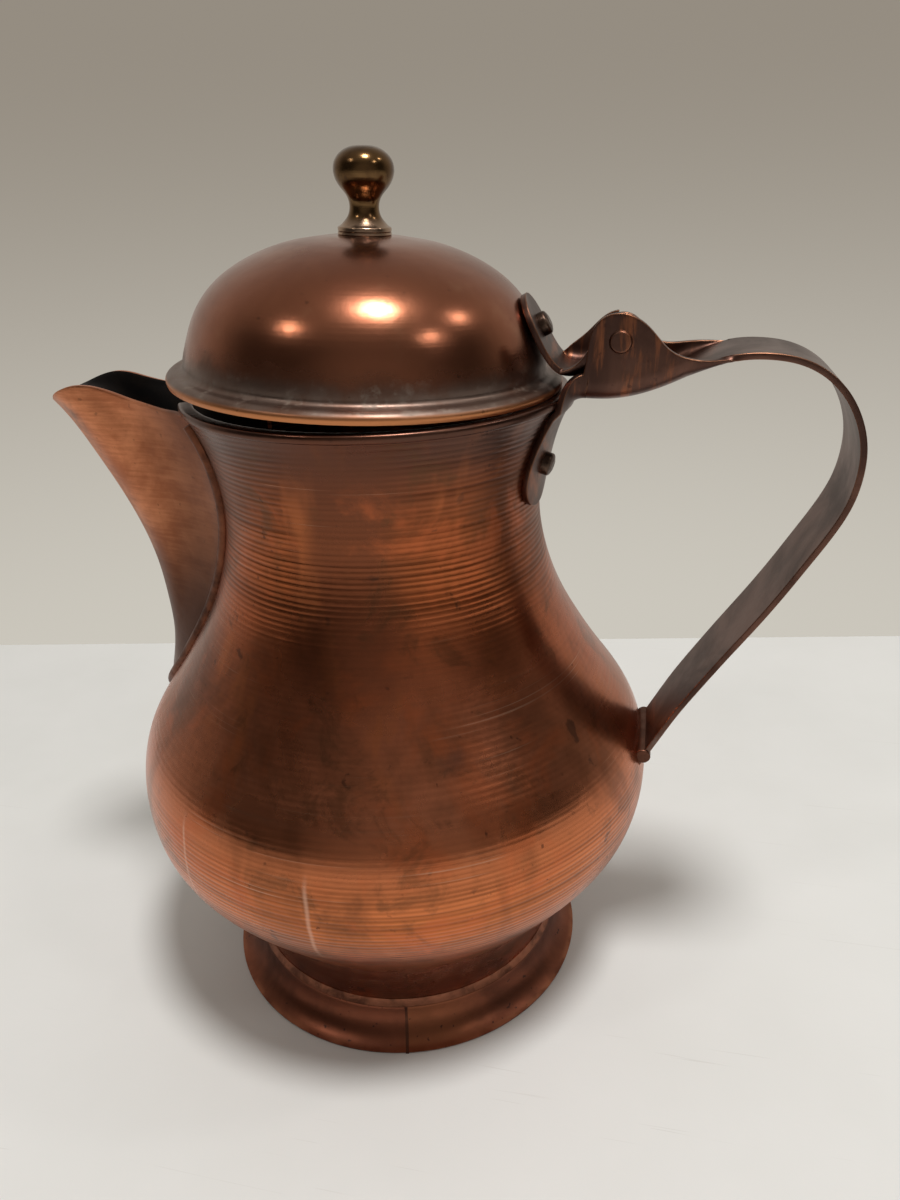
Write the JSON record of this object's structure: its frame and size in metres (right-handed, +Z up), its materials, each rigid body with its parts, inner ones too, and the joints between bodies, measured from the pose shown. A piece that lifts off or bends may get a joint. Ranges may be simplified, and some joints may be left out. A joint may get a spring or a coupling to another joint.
{
  "type": "lidded jug",
  "caption": "Old copper jug with a pear-shaped belly on a flared foot, a folded spout, a domed hinged lid with a turned brass knob and a wide strap handle.",
  "frame": {"origin": "centre of the foot ring's lower edge, on the table", "axes": "+Z up along the body's axis, +X towards the handle, the spout points to -X, the hinge runs along Y"},
  "size_m": [0.2294, 0.1608, 0.2532],
  "materials": {
    "body_copper": "worn satin copper with lathe rings and brown patina",
    "lid_copper": "satin copper with grey patina at the edge",
    "spout_copper": "brushed copper",
    "foot_copper": "dark tarnished copper",
    "strap_copper": "tarnished copper strap",
    "knob_brass": "glossy dark brass",
    "rivets": "dull copper rivets",
    "solder": "dull grey solder"
  },
  "bodies": {
    "jug": {"body_shell": "body_copper", "foot_ring": "foot_copper", "foot_seam": "foot_copper", "foot_solder": "solder", "spout": "spout_copper", "spout_solder": "solder", "handle_strap": "strap_copper", "neck_rivet": "rivets", "handle_solder": "solder", "hinge_pin": "rivets"},
    "lid": {"lid_dome": "lid_copper", "lid_knob": "knob_brass", "knob_washer": "knob_brass", "lid_strap": "strap_copper", "lid_rivet": "rivets"}
  },
  "joints": [
    {"name": "lid_hinge", "type": "hinge", "parent": "jug", "child": "lid", "pos_m": [0.067, 0, 0.2072], "axis": [0, 1, 0], "range_deg": [0, 150]}
  ]
}
